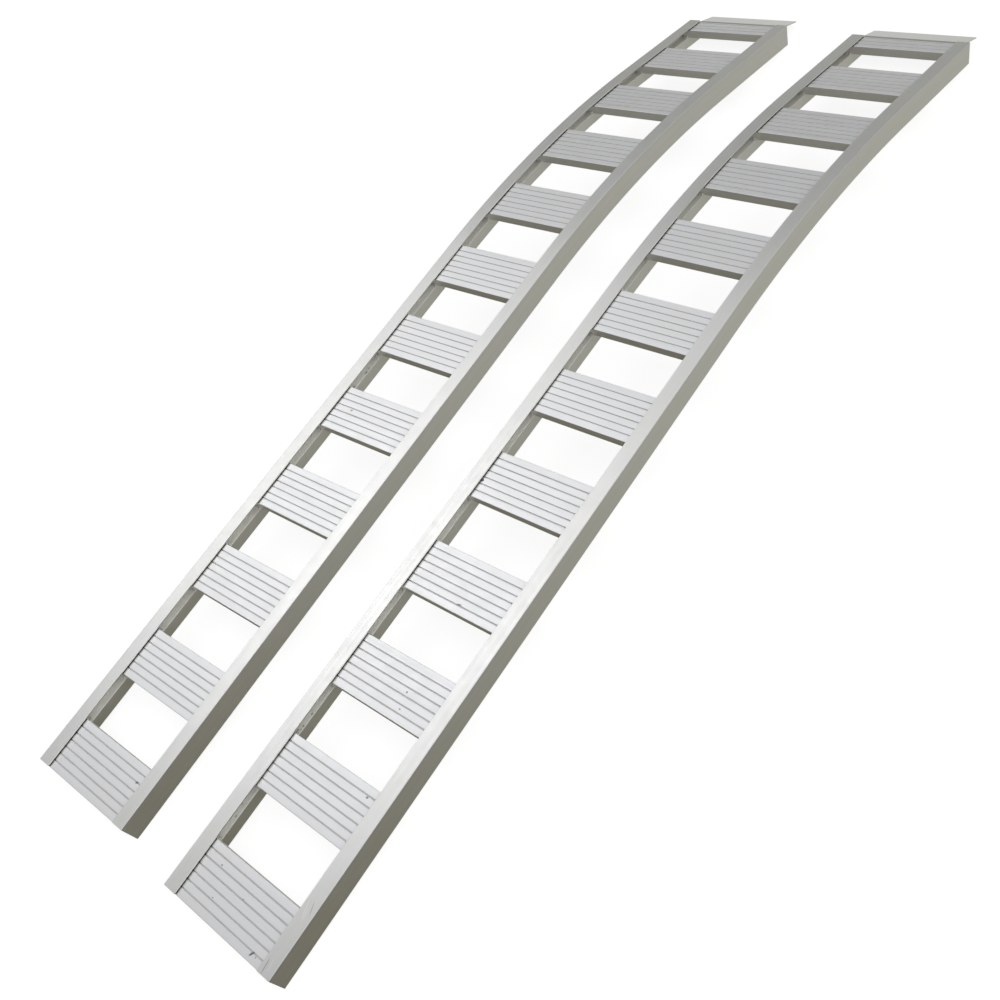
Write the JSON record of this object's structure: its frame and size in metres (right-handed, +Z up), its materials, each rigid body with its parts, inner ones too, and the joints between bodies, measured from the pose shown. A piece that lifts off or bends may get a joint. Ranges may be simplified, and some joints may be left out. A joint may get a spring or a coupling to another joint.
{
  "type": "arched loading ramp pair",
  "caption": "Pair of arched aluminium loading ramps: extruded side rails, ribbed cross treads with open gaps and a flat bent lip plate at the top end.",
  "frame": {"origin": "middle of the footprint of the pair, on the floor that the ramps lie on", "axes": "+X along the ramps from the bottom (ground) end to the lip end, +Y to the left looking up the ramps, +Z up"},
  "size_m": [2.437, 0.7408, 0.148],
  "materials": {
    "rail_extrusion": "satin mill finish with fine lengthwise extrusion lines",
    "tread_extrusion": "satin mill finish with fine lines along the tread",
    "lip_plate": "satin rolled plate",
    "weld_metal": "dull as-welded, rippled"
  },
  "bodies": {
    "ramp_a": {"ramp_a_left_rail": "rail_extrusion", "ramp_a_right_rail": "rail_extrusion", "ramp_a_tread_01": "tread_extrusion", "ramp_a_tread_02": "tread_extrusion", "ramp_a_tread_03": "tread_extrusion", "ramp_a_tread_04": "tread_extrusion", "ramp_a_tread_05": "tread_extrusion", "ramp_a_tread_06": "tread_extrusion", "ramp_a_tread_07": "tread_extrusion", "ramp_a_tread_08": "tread_extrusion", "ramp_a_tread_09": "tread_extrusion", "ramp_a_tread_10": "tread_extrusion", "ramp_a_tread_11": "tread_extrusion", "ramp_a_tread_12": "tread_extrusion", "ramp_a_top_lip": "lip_plate", "ramp_a_tread_welds": "weld_metal", "ramp_a_lip_welds": "weld_metal"},
    "ramp_b": {"ramp_b_left_rail": "rail_extrusion", "ramp_b_right_rail": "rail_extrusion", "ramp_b_tread_01": "tread_extrusion", "ramp_b_tread_02": "tread_extrusion", "ramp_b_tread_03": "tread_extrusion", "ramp_b_tread_04": "tread_extrusion", "ramp_b_tread_05": "tread_extrusion", "ramp_b_tread_06": "tread_extrusion", "ramp_b_tread_07": "tread_extrusion", "ramp_b_tread_08": "tread_extrusion", "ramp_b_tread_09": "tread_extrusion", "ramp_b_tread_10": "tread_extrusion", "ramp_b_tread_11": "tread_extrusion", "ramp_b_tread_12": "tread_extrusion", "ramp_b_top_lip": "lip_plate", "ramp_b_tread_welds": "weld_metal", "ramp_b_lip_welds": "weld_metal"}
  },
  "joints": [
    {"name": "spacing", "type": "slide", "parent": "ramp_a", "child": "ramp_b", "axis": [0, -1, 0], "range_m": [-0.14, 0.775]}
  ]
}
